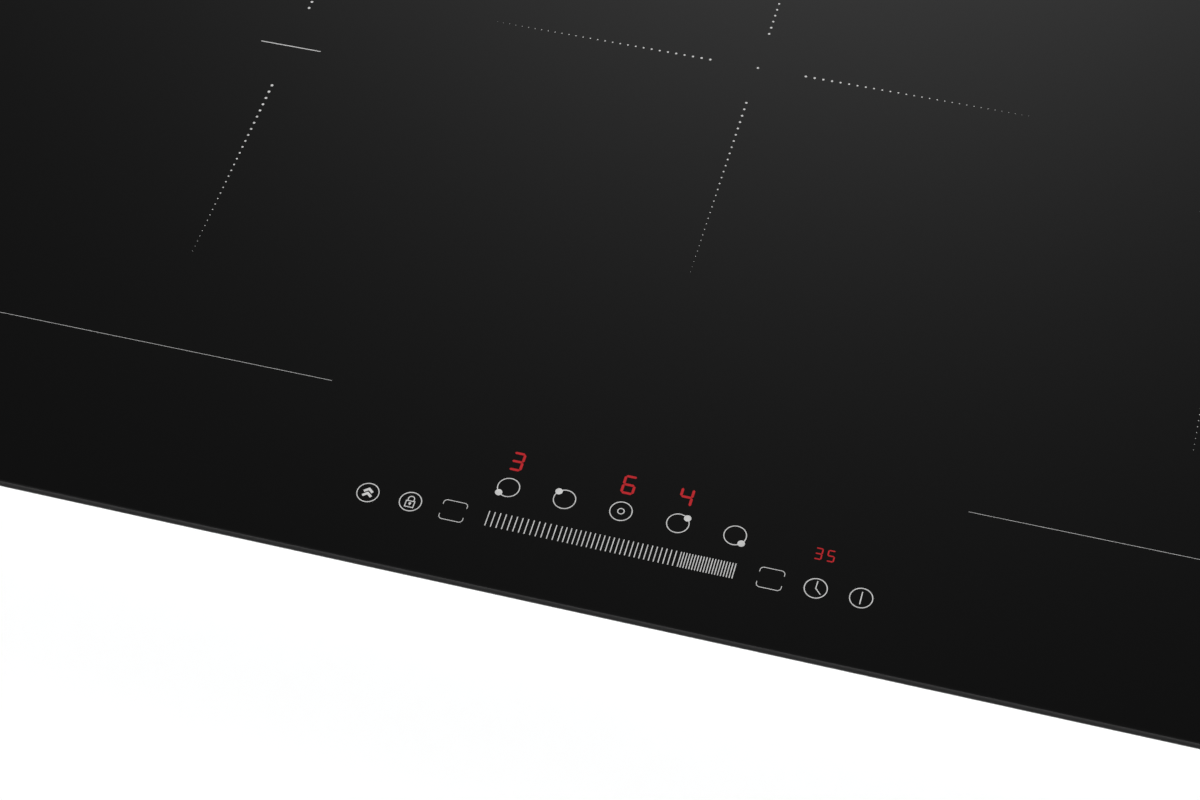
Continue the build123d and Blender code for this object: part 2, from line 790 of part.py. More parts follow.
# Swivelling worktop clamps: a strip with a gripping lip, turning on a bolt under the ledge
clamp_level = step_height - clamp_drop - clamp_sheet
clamp_length = clamp_reach + clamp_width
for j, row in ((-1, "front"), (1, "rear")):
    for i, side in ((-1, "left"), (1, "right")):
        pivot = Plane((i * clamp_x, j * ledge_y, clamp_level), x_dir=(-i, 0, 0), z_dir=(0, 0, 1))
        with BuildPart() as clamp:
            with BuildSketch(pivot) as strip:
                with Locations((clamp_reach / 2, 0)):
                    Rectangle(clamp_length, clamp_width)
                chamfer(strip.vertices(), clamp_corner)
            extrude(amount=clamp_sheet)
            with BuildSketch(pivot.offset(clamp_sheet)):
                with Locations((clamp_reach + clamp_width / 2 - clamp_corner - clamp_lip / 2, 0)):
                    Rectangle(clamp_lip, clamp_width)
            extrude(amount=clamp_lip_height)
            with BuildSketch(pivot):
                RegularPolygon(clamp_collar_radius, 6)
            extrude(amount=clamp_drop + clamp_sheet - clamp_run)
            with BuildSketch(pivot):
                Circle(bolt_radius + bolt_gap)
            extrude(amount=clamp_drop + clamp_sheet, mode=Mode.SUBTRACT)
        keep(clamp, f"{row}_{side}_clamp")

head_top = clamp_level - clamp_run
nut_level = step_height + tray_sheet
bolt_top = nut_level + nut_height + bolt_end
with BuildPart() as clamp_bolts:
    with BuildSketch(level(head_top)):
        with Locations(*clamp_places):
            RegularPolygon(bolt_head_radius, 6)
    extrude(amount=-bolt_head)
    with BuildSketch(level(head_top)):
        with Locations(*clamp_places):
            Circle(bolt_radius)
    extrude(amount=bolt_top - head_top)
keep(clamp_bolts, "clamp_bolts")

with BuildPart() as clamp_nuts:
    with BuildSketch(level(nut_level)):
        with Locations(*clamp_places):
            Rectangle(nut_width, nut_width)
        with Locations(*clamp_places):
            RegularPolygon(*bolt_hole, mode=Mode.SUBTRACT)
    extrude(amount=nut_height)
keep(clamp_nuts, "clamp_nuts")

# Touch controls: carrier on four legs, board, touch pads and digit blocks up to the glass
zone_key_row = slider_row + zone_key_rise
digit_row = zone_key_row + digit_rise
panel_front = -tray_depth / 2 + skirt_inset + frame_sheet + panel_front_gap
panel_rear = front_edge + digit_row + digit_depth / 2 + panel_margin
panel_y = (panel_front + panel_rear) / 2
panel_depth = panel_rear - panel_front
panel_width = 2 * panel_half_width
panel_top = tray_height - frame_gap
panel_level = panel_top - panel_drop
panel_board_top = glass_level - panel_board_drop
panel_board_level = panel_board_top - board_thick
leg_x = panel_half_width - panel_leg_inset
rear_leg_y = panel_rear - panel_leg_inset
with BuildPart() as control_carrier:
    with BuildSketch(Plane((0, panel_y, panel_level))):
        Rectangle(panel_width, panel_depth)
    extrude(amount=panel_drop)
    with BuildSketch(Plane((0, panel_y, panel_level + panel_wall))):
        Rectangle(panel_width - 2 * panel_wall, panel_depth - 2 * panel_wall)
    extrude(amount=panel_drop, mode=Mode.SUBTRACT)
    with BuildSketch(level(panel_board_level)):
        with Locations((-leg_x, -ledge_y), (leg_x, -ledge_y)):
            Rectangle(panel_leg, panel_leg)
    extrude(amount=step_height + tray_sheet - panel_board_level)
    with BuildSketch(level(panel_board_level)):
        with Locations((-leg_x, rear_leg_y), (leg_x, rear_leg_y)):
            Rectangle(panel_leg, panel_leg)
    extrude(amount=tray_sheet - panel_board_level)
keep(control_carrier, "control_carrier")

board_inset = panel_wall + panel_board_gap
with BuildPart() as control_board:
    with BuildSketch(Plane((0, panel_y, panel_board_level))):
        Rectangle(panel_width - 2 * board_inset, panel_depth - 2 * board_inset)
    extrude(amount=board_thick)
keep(control_board, "control_board")

with BuildPart() as touch_pads:
    with BuildSketch(Plane((0, front_edge, panel_board_top))):
        with Locations((0, zone_key_row)):
            with GridLocations(zone_key_pitch, 0, zone_keys, 1):
                Rectangle(touch_size, touch_size)
        with Locations((0, slider_row)):
            with GridLocations(slider_pad_pitch, 0, slider_pads, 1):
                Rectangle(touch_size, touch_size)
        with Locations((-outer_key_x, slider_row), (outer_key_x, slider_row)):
            with GridLocations(outer_key_pitch, 0, 2, 1):
                Rectangle(touch_size, touch_size)
    extrude(amount=panel_board_drop)
keep(touch_pads, "touch_pads")

with BuildPart() as digit_displays:
    with BuildSketch(Plane((0, front_edge, panel_board_top))):
        with Locations((0, digit_row)):
            with GridLocations(zone_key_pitch, 0, zone_keys, 1):
                Rectangle(digit_width, digit_depth)
        with Locations((timer_x, zone_key_row)):
            Rectangle(timer_width, timer_depth)
    extrude(amount=digit_height)
keep(digit_displays, "digit_displays")
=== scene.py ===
import json
import math

import bmesh
import bpy
from mathutils import Matrix, Vector


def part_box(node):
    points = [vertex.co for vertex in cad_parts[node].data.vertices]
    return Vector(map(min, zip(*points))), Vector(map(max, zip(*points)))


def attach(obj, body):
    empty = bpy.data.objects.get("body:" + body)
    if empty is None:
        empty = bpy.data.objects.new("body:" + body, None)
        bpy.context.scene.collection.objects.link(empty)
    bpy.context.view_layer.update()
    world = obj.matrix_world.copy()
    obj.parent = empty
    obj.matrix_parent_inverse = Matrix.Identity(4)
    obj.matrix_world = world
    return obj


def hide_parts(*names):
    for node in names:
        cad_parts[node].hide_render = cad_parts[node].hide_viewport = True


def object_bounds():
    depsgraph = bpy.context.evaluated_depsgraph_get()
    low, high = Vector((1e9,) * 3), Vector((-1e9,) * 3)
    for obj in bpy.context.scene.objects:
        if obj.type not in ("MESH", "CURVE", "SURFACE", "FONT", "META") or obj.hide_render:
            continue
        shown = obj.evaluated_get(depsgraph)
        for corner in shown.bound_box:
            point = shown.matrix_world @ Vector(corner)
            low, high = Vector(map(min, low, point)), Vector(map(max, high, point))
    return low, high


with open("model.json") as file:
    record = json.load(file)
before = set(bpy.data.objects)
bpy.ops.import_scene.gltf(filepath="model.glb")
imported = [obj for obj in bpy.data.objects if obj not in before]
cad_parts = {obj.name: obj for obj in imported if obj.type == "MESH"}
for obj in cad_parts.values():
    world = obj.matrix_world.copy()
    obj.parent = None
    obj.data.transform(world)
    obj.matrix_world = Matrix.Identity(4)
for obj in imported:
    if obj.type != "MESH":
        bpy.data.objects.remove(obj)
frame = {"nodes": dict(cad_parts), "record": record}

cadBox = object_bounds()
scene = bpy.context.scene
scene.view_settings.view_transform = "Standard"
mm = 0.001
fullTurn = 2 * math.pi
glassLow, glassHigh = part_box("glass_top")
frontEdge = glassLow.y  # rows of marks are measured from here
glassTop = glassHigh.z
glassDepth = round((glassHigh.y - glassLow.y) / mm, 3)
print("frame loaded:", len(frame["nodes"]), "nodes")


def addObject(name, data):
    added = bpy.data.objects.new(name, data)
    scene.collection.objects.link(added)
    return added


def mathNode(tree, operation, *values):
    # each value is a number or another node's output
    node = tree.nodes.new("ShaderNodeMath")
    node.operation = operation
    for socket, value in zip(node.inputs, values):
        if isinstance(value, (int, float)):
            socket.default_value = value
        else:
            tree.links.new(value, socket)
    return node.outputs[0]


# Stage: camera and studio light

cameraPlan = {  # fitted to the printed marks in the photo
    "place": (0.174937, -0.774632, 0.915434),
    "right": (0.963138, 0.267220, -0.030959),
    "up": (-0.196090, 0.776189, 0.599232),
    "back": (0.184157, -0.571072, 0.799977),
    "lens": 78.364,
    "sensor": 36.0,
}


def makeCamera(plan):
    data = bpy.data.cameras.new("photoCamera")
    data.lens = plan["lens"]
    data.sensor_width = plan["sensor"]
    camera = addObject("photoCamera", data)
    turn = Matrix((plan["right"], plan["up"], plan["back"])).transposed().to_4x4()
    camera.matrix_world = Matrix.Translation(plan["place"]) @ turn
    scene.camera = camera


lightPlan = {
    "keyElevation": 45,  # from the cook's side, so the floor under the front edge is lit
    "keyAzimuth": -8,
    "keyDistance": 3,
    "keySoftness": 22,
    "keyStrength": 3.3,
    "ambient": 0.10,
    "horizon": 0.9,  # white band all round, down to the floor
    "horizonSpread": 0.42,
    "horizonFall": 4.0,  # how sharply the band ends
    "glow": 1.13,  # soft pale screen behind the cooktop
    "glowElevation": 33,
    "glowAzimuth": -9,
    "glowSpread": 0.0293,
}


def direction(azimuth, elevation):
    a, e = math.radians(azimuth), math.radians(elevation)
    return Vector((math.sin(a) * math.cos(e), math.cos(a) * math.cos(e), math.sin(e)))


def makeKeyLight(plan):
    data = bpy.data.lights.new("keyLight", "SUN")
    data.energy = plan["keyStrength"]
    data.angle = math.radians(plan["keySoftness"])
    key = addObject("keyLight", data)
    towards = direction(180 + plan["keyAzimuth"], plan["keyElevation"])
    key.rotation_mode = "QUATERNION"
    key.rotation_quaternion = towards.to_track_quat("Z", "Y")
    key.location = towards * plan["keyDistance"]


def makeStudio(plan):
    world = bpy.data.worlds.new("studio")
    world.use_nodes = True
    scene.world = world
    tree = world.node_tree
    around = tree.nodes.new("ShaderNodeTexCoord").outputs["Generated"]

    aim = tree.nodes.new("ShaderNodeVectorMath")  # the glow falls away from its middle like a lit screen
    aim.operation = "DOT_PRODUCT"
    aim.inputs[1].default_value = direction(plan["glowAzimuth"], plan["glowElevation"])
    tree.links.new(around, aim.inputs[0])
    off = mathNode(tree, "SUBTRACT", aim.outputs["Value"], 1.0)
    soft = mathNode(tree, "EXPONENT", mathNode(tree, "DIVIDE", off, plan["glowSpread"]))
    glow = mathNode(tree, "MULTIPLY", soft, plan["glow"])

    split = tree.nodes.new("ShaderNodeSeparateXYZ")  # the band falls away from the horizon
    tree.links.new(around, split.inputs[0])
    height = mathNode(tree, "DIVIDE", split.outputs["Z"], plan["horizonSpread"])
    steep = mathNode(tree, "POWER", mathNode(tree, "ABSOLUTE", height), plan["horizonFall"])
    fall = mathNode(tree, "EXPONENT", mathNode(tree, "MULTIPLY", steep, -1.0))
    band = mathNode(tree, "MULTIPLY", fall, plan["horizon"])

    total = mathNode(tree, "ADD", mathNode(tree, "MAXIMUM", glow, band), plan["ambient"])
    background = tree.nodes["Background"]
    background.inputs["Color"].default_value = (1, 1, 1, 1)
    tree.links.new(total, background.inputs["Strength"])


makeCamera(cameraPlan)
makeKeyLight(lightPlan)
makeStudio(lightPlan)
print("stage: camera and light set")


# Finishes


def shade(colour, amount):
    return tuple(c * amount for c in colour)


class Finish:
    usualSpan = (0.3, 0.7)  # where most of a noise's values are

    def __init__(self, name):
        self.material = bpy.data.materials.new(name)
        self.material.use_nodes = True
        self.tree = self.material.node_tree
        self.shader = self.tree.nodes["Principled BSDF"]
        self.coords = self.tree.nodes.new("ShaderNodeTexCoord").outputs
        self.flat = self.coords["Object"]

    def feed(self, node, inputs):
        # sets each input, or joins it to another node's output
        for name, value in inputs.items():
            socket = node.inputs[name.replace("_", " ")]
            if isinstance(value, bpy.types.NodeSocket):
                self.tree.links.new(value, socket)
            else:
                socket.default_value = value

    def node(self, kind, **inputs):
        node = self.tree.nodes.new("ShaderNode" + kind)
        self.feed(node, inputs)
        return node

    def set(self, **inputs):
        self.feed(self.shader, inputs)

    def mathNode(self, operation, *values):
        return mathNode(self.tree, operation, *values)

    def stretched(self, scale):
        return self.node("Mapping", Vector=self.flat, Scale=scale).outputs["Vector"]

    def upward(self, kind):
        return self.node("SeparateXYZ", Vector=self.coords[kind]).outputs["Z"]

    def noise(self, vector, scale, detail=4.0, roughness=0.55):
        node = self.node("TexNoise", Vector=vector, Scale=scale, Detail=detail, Roughness=roughness)
        return node.outputs["Fac"]

    def cells(self, scale):
        return self.node("TexVoronoi", Vector=self.flat, Scale=scale).outputs

    def spread(self, source, low, high, span=usualSpan):
        start, end = span
        node = self.node("MapRange", Value=source, From_Min=start, From_Max=end, To_Min=low, To_Max=high)
        return node.outputs["Result"]

    def around(self, source, middle, swing):
        return self.spread(source, middle + swing[0], middle + swing[1])

    def tint(self, source, dark, light, span=usualSpan):
        node = self.node("ValToRGB", Fac=source)
        for stop, place, colour in zip(node.color_ramp.elements, span, (dark, light)):
            stop.position = place
            stop.color = (*colour, 1)
        return node.outputs["Color"]

    def shades(self, source, colour, amounts, span=usualSpan):
        return self.tint(source, shade(colour, amounts[0]), shade(colour, amounts[1]), span)

    def blend(self, factor, first, second):
        node = self.node("Mix")
        node.data_type = "RGBA"
        self.feed(node, {"Factor": factor, "A": first, "B": second})
        return node.outputs["Result"]

    def bump(self, height, distance):
        node = self.node("Bump", Strength=1.0, Distance=distance, Height=height)
        self.set(Normal=node.outputs["Normal"])


mouldedLook = {  # what moulded pieces share; a relief is in metres
    "clouds": 60,
    "cloudShades": (0.86, 1.12),
    "grainDetail": 2.0,
    "swing": (-0.06, 0.06),  # of the roughness, from grain to grain
    "relief": 0.00003,
}


def mouldedFinish(name, look):
    look = {**mouldedLook, **look}
    finish = Finish(name)
    clouds = finish.noise(finish.flat, look["clouds"])
    grain = finish.noise(finish.flat, look["grain"], look["grainDetail"])
    finish.set(Base_Color=finish.shades(clouds, look["colour"], look["cloudShades"]))
    finish.set(Roughness=finish.around(grain, look["roughness"], look["swing"]))
    finish.bump(grain, look["relief"])
    return finish.material


metalLook = {
    "stretch": (8, 260, 260),  # scale of the streaks, which run along x
    "streakDetail": 3.0,
    "clouds": 35,
    "cloudShades": (0.86, 1.08),
    "spangle": None,  # flat crystals of a hot-dip zinc coat
    "crystalShades": (0.88, 1.07),
    "crystalSpan": (0.2, 0.8),
    "crystalShare": 0.9,
    "swing": (-0.07, 0.09),
    "relief": 0.000015,
}


def metalFinish(name, look):
    look = {**metalLook, **look}
    finish = Finish(name)
    streaks = finish.noise(finish.stretched(look["stretch"]), 1.0, look["streakDetail"])
    clouds = finish.noise(finish.flat, look["clouds"])
    base = finish.shades(clouds, look["colour"], look["cloudShades"])
    if look["spangle"]:
        cells = finish.cells(look["spangle"])["Color"]
        crystals = finish.shades(cells, look["colour"], look["crystalShades"], look["crystalSpan"])
        base = finish.blend(finish.mathNode("MULTIPLY", clouds, look["crystalShare"]), base, crystals)
    finish.set(Metallic=1.0, Base_Color=base)
    finish.set(Roughness=finish.around(streaks, look["roughness"], look["swing"]))
    finish.bump(streaks, look["relief"])
    return finish.material


copperLook = {
    "colour": (0.62, 0.27, 0.12),
    "strands": 2600,
    "strandDetail": 2.0,
    "strandShades": (0.6, 1.1),
    "clouds": 90,
    "wornShades": (0.75, 1.0),
    "roughness": (0.3, 0.5),
    "metallic": 0.8,  # the enamel takes the rest
    "relief": 0.00008,
}


def windingFinish(name, look):
    finish = Finish(name)
    strands = finish.noise(finish.flat, look["strands"], look["strandDetail"])
    clouds = finish.noise(finish.flat, look["clouds"])
    bright = finish.shades(strands, look["colour"], look["strandShades"])
    worn = finish.shades(clouds, look["colour"], look["wornShades"])
    finish.set(Metallic=look["metallic"], Base_Color=finish.blend(clouds, bright, worn))
    finish.set(Roughness=finish.spread(strands, *look["roughness"]))
    finish.bump(strands, look["relief"])
    return finish.material


boardLook = {
    "colour": (0.03, 0.16, 0.06),
    "tracks": 90,
    "trackWidth": 0.012,
    "fieldShades": (0.8, 1.0),
    "trackShade": 1.8,
    "clouds": 80,
    "patchShades": (0.7, 1.1),
    "roughness": (0.28, 0.42),
    "relief": 0.00003,
}


def boardFinish(name, look):
    finish = Finish(name)
    first, second = ((*shade(look["colour"], amount), 1) for amount in look["fieldShades"])
    tracks = finish.node(  # copper tracks under the lacquer
        "TexBrick",
        Vector=finish.flat,
        Scale=look["tracks"],
        Mortar_Size=look["trackWidth"],
        Color1=first,
        Color2=second,
        Mortar=(*shade(look["colour"], look["trackShade"]), 1),
    ).outputs
    clouds = finish.noise(finish.flat, look["clouds"])
    patches = finish.shades(clouds, look["colour"], look["patchShades"])
    finish.set(Base_Color=finish.blend(clouds, tracks["Color"], patches))
    finish.set(Roughness=finish.spread(clouds, *look["roughness"]))
    finish.bump(tracks["Fac"], look["relief"])
    return finish.material


glassLook = {
    "colour": (0.0003, 0.0003, 0.00031),
    "specks": 2600,
    "speckDetail": 1.0,
    "speckShades": (1.0, 1.5),
    "smears": 9,
    "smearDetail": 3.0,
    "smearSwing": (-0.01, 0.015),
    "roughness": 0.03,
    "index": 1.5,
    "groundSlope": (0.3, 0.6),  # faces that look up or down by less than this are ground
    "edge": (0.006, 0.006, 0.0061),
    "edgePaintedShades": (0.05, 1.0),  # painted shade, from the lower part of the edge to the upper: the edge darkens downward
    "edgeSpan": (0.42, 0.78),  # as shares of the glass's height
    "edgeRoughness": 0.95,
    "edgePaintedReflectionShade": (0.62, 1.0),  # painted shade: the reflection on the lower part is dimmed
    "edgePaintedReflectionSpan": (0.5, 0.66),
}


def glassFinish(name, look):
    finish = Finish(name)
    smears = finish.noise(finish.flat, look["smears"], look["smearDetail"])
    specks = finish.noise(finish.flat, look["specks"], look["speckDetail"])
    height = finish.upward("Generated")
    tilt = finish.mathNode("ABSOLUTE", finish.upward("Normal"))
    ground = finish.spread(tilt, 1.0, 0.0, look["groundSlope"])  # 1 on the ground edge, 0 where polished
    polished = finish.shades(specks, look["colour"], look["speckShades"])
    # painted shade: the ground edge's colour darkens towards its lower part
    edge = finish.shades(height, look["edge"], look["edgePaintedShades"], look["edgeSpan"])
    smooth = finish.around(smears, look["roughness"], look["smearSwing"])
    matt = finish.mathNode("MULTIPLY", ground, look["edgeRoughness"])
    finish.set(IOR=look["index"], Base_Color=finish.blend(ground, polished, edge))
    finish.set(Roughness=finish.mathNode("ADD", smooth, matt))
    # painted shade: the edge's reflection is tinted darker towards its lower part
    finish.set(Specular_Tint=finish.shades(height, (1, 1, 1), look["edgePaintedReflectionShade"], look["edgePaintedReflectionSpan"]))
    finish.shader.distribution = "GGX"  # a ground edge gives back less light than a polished one
    return finish.material


foamLook = {
    "poreShades": (1.3, 0.5),
    "poreSpan": (0.1, 0.6),
    "clouds": 70,
    "cloudShades": (0.8, 1.2),
    "swing": (-0.08, 0.06),
}


def foamFinish(name, look):
    look = {**foamLook, **look}
    finish = Finish(name)
    cells = finish.cells(look["cells"])["Distance"]
    clouds = finish.noise(finish.flat, look["clouds"])
    pores = finish.shades(cells, look["colour"], look["poreShades"], look["poreSpan"])
    cloud = finish.shades(clouds, look["colour"], look["cloudShades"])
    finish.set(Base_Color=finish.blend(clouds, pores, cloud))
    finish.set(Roughness=finish.around(clouds, look["roughness"], look["swing"]))
    finish.bump(cells, look["relief"])
    return finish.material


slotLooks = {
    "black_glass": (glassFinish, glassLook),
    "seal_foam": (
        foamFinish,
        {"colour": (0.03, 0.03, 0.031), "cells": 1400, "roughness": 0.85, "relief": 0.0002},
    ),
    "silicone": (
        foamFinish,
        {"colour": (0.06, 0.06, 0.062), "cells": 500, "roughness": 0.5, "relief": 0.00004},
    ),
    "galvanised_steel": (
        metalFinish,
        {"colour": (0.42, 0.435, 0.45), "roughness": 0.36, "spangle": 240, "relief": 0.000005},
    ),
    "zinc_screw": (
        metalFinish,
        {"colour": (0.66, 0.66, 0.63), "roughness": 0.28, "stretch": (300, 300, 40)},
    ),
    "aluminium": (metalFinish, {"colour": (0.80, 0.81, 0.82), "roughness": 0.34}),
    "brass": (metalFinish, {"colour": (0.72, 0.55, 0.25), "roughness": 0.3, "stretch": (300, 300, 300)}),
    "copper": (windingFinish, copperLook),
    "circuit_board": (boardFinish, boardLook),
    "grey_nylon": (mouldedFinish, {"colour": (0.34, 0.34, 0.35), "roughness": 0.5, "grain": 2200}),
    "ferrite": (mouldedFinish, {"colour": (0.05, 0.05, 0.054), "roughness": 0.62, "grain": 3000}),
    "mica": (mouldedFinish, {"colour": (0.62, 0.52, 0.36), "roughness": 0.5, "grain": 900, "clouds": 140}),
    "lead_sleeve": (mouldedFinish, {"colour": (0.72, 0.70, 0.64), "roughness": 0.75, "grain": 2600}),
    "black_epoxy": (mouldedFinish, {"colour": (0.022, 0.022, 0.023), "roughness": 0.5, "grain": 3500}),
    "capacitor_case": (mouldedFinish, {"colour": (0.52, 0.11, 0.05), "roughness": 0.32, "grain": 1800}),
    "black_plastic": (
        mouldedFinish,
        {"colour": (0.028, 0.028, 0.03), "roughness": 0.46, "grain": 2600, "relief": 0.00005},
    ),
    "pale_plastic": (mouldedFinish, {"colour": (0.76, 0.75, 0.70), "roughness": 0.42, "grain": 2000}),
    "conductive_foam": (
        foamFinish,
        {"colour": (0.10, 0.10, 0.10), "cells": 1800, "roughness": 0.85, "relief": 0.0001},
    ),
    "display_block": (mouldedFinish, {"colour": (0.06, 0.035, 0.035), "roughness": 0.2, "grain": 1600}),
    "former_plastic": (mouldedFinish, {"colour": (0.11, 0.11, 0.11), "roughness": 0.55, "grain": 2400}),
}
finishes = {slot: make(slot, look) for slot, (make, look) in slotLooks.items()}


def dress(piece, material):
    piece.data.materials.clear()
    piece.data.materials.append(material)


for subpart in frame["record"]["subparts"]:
    dress(frame["nodes"][subpart["node"]], finishes[subpart["material_slot"]])

floorPlan = {
    "size": 30.0,
    "drop": 0.0003,  # below the tray's underside
    "colour": (0.94, 0.94, 0.94),
    "clouds": 2.0,
    "cloudShades": (0.99, 1.0),
    "roughness": 0.9,
    "shine": 0.1,
    "lift": 0.12,  # light of its own, only for the eye and the mirrors, so shadows stay
}


def makeFloor(plan):
    half = plan["size"] / 2
    mesh = bpy.data.meshes.new("floor")
    corners = [(-half, -half, 0), (half, -half, 0), (half, half, 0), (-half, half, 0)]
    mesh.from_pydata(corners, [], [(0, 1, 2, 3)])
    floor = addObject("floor", mesh)
    floor.location.z = cadBox[0].z - plan["drop"]
    finish = Finish("paleFloor")
    clouds = finish.noise(finish.flat, plan["clouds"])
    ray = finish.node("LightPath").outputs
    seen = finish.mathNode("ADD", ray["Is Camera Ray"], ray["Is Glossy Ray"])
    seen = finish.mathNode("ADD", seen, ray["Is Transmission Ray"])
    finish.set(Base_Color=finish.shades(clouds, plan["colour"], plan["cloudShades"]))
    finish.set(Roughness=plan["roughness"], Specular_IOR_Level=plan["shine"], Emission_Color=(1, 1, 1, 1))
    finish.set(Emission_Strength=finish.mathNode("MULTIPLY", seen, plan["lift"]))
    mesh.materials.append(finish.material)


makeFloor(floorPlan)
print("floor laid")


# Mesh helpers


def skin(bm, rows, closed=False):
    # each row is a closed line of points; the two ends are capped unless the rows run round
    made = [[bm.verts.new(p) for p in row] for row in rows]
    pairs = list(zip(made, made[1:]))
    if closed:
        pairs.append((made[-1], made[0]))
    for a, b in pairs:
        for k in range(len(a)):
            n = (k + 1) % len(a)
            bm.faces.new((a[k], a[n], b[n], b[k]))
    if not closed:
        bm.faces.new(made[0][::-1])
        bm.faces.new(made[-1])


def plainMesh(name, bm):
    mesh = bpy.data.meshes.new(name)
    bm.to_mesh(mesh)
    bm.free()
    return mesh


def meshPiece(name, bm, slot, material=None, smooth=False):
    bmesh.ops.recalc_face_normals(bm, faces=bm.faces)
    mesh = plainMesh(name, bm)
    for face in mesh.polygons:
        face.use_smooth = smooth and len(face.vertices) == 4  # caps stay flat
    piece = addObject(name, mesh)
    dress(piece, material or finishes[slot])
    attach(piece, "hob")
    return piece


def squarish(angle, square):
    # a point on a round (1) to square (near 0) outline of half width 1
    c, s = math.cos(angle), math.sin(angle)
    return math.copysign(abs(c) ** square, c), math.copysign(abs(s) ** square, s)


def squarishRow(sides, square):
    return [squarish(fullTurn * k / sides, square) for k in range(sides)]


def solidBoxes(node, weld=0.001):
    # lowest and highest corner of each separate solid in a node
    bm = bmesh.new()
    bm.from_mesh(frame["nodes"][node].data)
    bmesh.ops.remove_doubles(bm, verts=bm.verts, dist=weld * mm)
    boxes = []
    seen = set()
    for vert in bm.verts:
        if vert in seen:
            continue
        group = [vert]
        seen.add(vert)
        for member in group:
            for edge in member.link_edges:
                other = edge.other_vert(member)
                if other not in seen:
                    seen.add(other)
                    group.append(other)
        places = [[v.co[k] for v in group] for k in range(3)]
        boxes.append((Vector(map(min, places)), Vector(map(max, places))))
    bm.free()
    return boxes


# Outlines in mm


def circle(centre, radius, sides, start=0.0, sweep=360.0):
    steps = sides if sweep >= 360 else sides + 1
    angles = [math.radians(start + sweep * i / sides) for i in range(steps)]
    return [(centre[0] + radius * math.cos(a), centre[1] + radius * math.sin(a)) for a in angles]


def sideLine(points, offset, closed=False):
    # the line moved sideways by offset, to its right, with mitred corners
    pts = [Vector(p) for p in points]
    count = len(pts)
    moved = []
    for i, p in enumerate(pts):
        before = pts[i - 1] if i or closed else None
        after = pts[(i + 1) % count] if i < count - 1 or closed else None
        normals = []
        for a, b in ((before, p), (p, after)):
            if a is not None and b is not None:
                d = (b - a).normalized()
                normals.append(Vector((d.y, -d.x)))
        mean = sum(normals, Vector((0, 0))).normalized()
        moved.append(tuple(p + mean * (offset / mean.dot(normals[0]))))
    return moved


def endCap(inner, end, stroke, steps=6):
    heading = math.degrees(math.atan2(end[1] - inner[1], end[0] - inner[0]))
    return circle(end, stroke / 2, steps, heading - 90, 180)[1:-1]


def strokeOutline(points, stroke, rounded):
    there = sideLine(points, stroke / 2)
    back = sideLine(points, -stroke / 2)[::-1]
    if rounded:
        there += endCap(points[-2], points[-1], stroke)
        back += endCap(points[1], points[0], stroke)
    return there + back


# Thin printed pieces on the glass, drawn in mm: x from the middle, y from the front edge

printSlot = "pale_plastic"
enamelLook = {
    "colour": (0.565, 0.565, 0.56),
    "roughness": 0.42,
    "grain": 2400,
    "clouds": 400,
    "relief": 0.000004,
}
printedFinish = mouldedFinish("printed_enamel", enamelLook)


class Print:
    def __init__(self, name, proud=0.02, sunk=0.05):
        self.name = name
        self.bm = bmesh.new()
        self.low = glassTop - sunk * mm
        self.high = glassTop + proud * mm

    def points(self, outline, z):
        return [self.bm.verts.new((x * mm, frontEdge + y * mm, z)) for x, y in outline]

    def wall(self, first, second):
        count = len(first)
        for i in range(count):
            j = (i + 1) % count
            self.bm.faces.new((first[i], first[j], second[j], second[i]))

    def shape(self, outline):
        low = self.points(outline, self.low)
        high = self.points(outline, self.high)
        self.bm.faces.new(high)
        self.bm.faces.new(low[::-1])
        self.wall(low, high)

    def band(self, outer, inner):
        outerLow, outerHigh = self.points(outer, self.low), self.points(outer, self.high)
        innerLow, innerHigh = self.points(inner, self.low), self.points(inner, self.high)
        self.wall(outerLow, outerHigh)
        self.wall(outerHigh, innerHigh)
        self.wall(innerHigh, innerLow)
        self.wall(innerLow, outerLow)

    def disc(self, centre, radius, sides=24):
        self.shape(circle(centre, radius, sides))

    def ring(self, centre, radius, stroke, sides=56):
        self.band(circle(centre, radius + stroke / 2, sides), circle(centre, radius - stroke / 2, sides))

    def line(self, points, stroke, rounded=True):
        self.shape(strokeOutline(points, stroke, rounded))

    def loop(self, points, stroke):
        self.band(sideLine(points, stroke / 2, True), sideLine(points, -stroke / 2, True))

    def done(self, slot=printSlot, material=printedFinish):
        meshPiece(self.name, self.bm, slot, material)


zoneKeys = {
    "row": 47.57,
    "pitch": 23.4,
    "radius": 4.48,
    "stroke": 0.4,
    "dotRadius": 1.5,
    "dotReach": 3.2,
    "dotProud": 0.03,
    "dotCorners": {-2: (-1, -1), -1: (-1, 1), 0: None, 1: (1, 1), 2: (1, -1)},
    "innerRadius": 1.3,  # small ring of the middle key, which has no dot
    "innerSides": 32,
}


def printZoneKeys(look):
    rings = Print("zone_key_rings")
    dots = Print("zone_key_dots", proud=look["dotProud"])
    y = look["row"]
    for place, corner in look["dotCorners"].items():
        x = place * look["pitch"]
        rings.ring((x, y), look["radius"], look["stroke"])
        if corner:
            i, j = corner
            dots.disc((x + i * look["dotReach"], y + j * look["dotReach"]), look["dotRadius"])
        else:
            rings.ring((x, y), look["innerRadius"], look["stroke"], look["innerSides"])
    rings.done()
    dots.done()


slider = {
    "row": 31.2,
    "height": 7.2,
    "stroke": 0.405,
    "groups": ((-50.76, 2.323, 14), (-18.61, 1.952, 25), (29.38, 1.1625, 19)),  # first tick, pitch, count
}


def printSlider(look):
    ticks = Print("slider_ticks")
    half = look["height"] / 2
    for first, pitch, count in look["groups"]:
        for k in range(count):
            x = first + k * pitch
            ticks.line([(x, look["row"] - half), (x, look["row"] + half)], look["stroke"], rounded=False)
    ticks.done()


sideKeys = {"row": 31.25, "radius": 4.49, "stroke": 0.41, "inner": 83.0, "outer": 101.0}


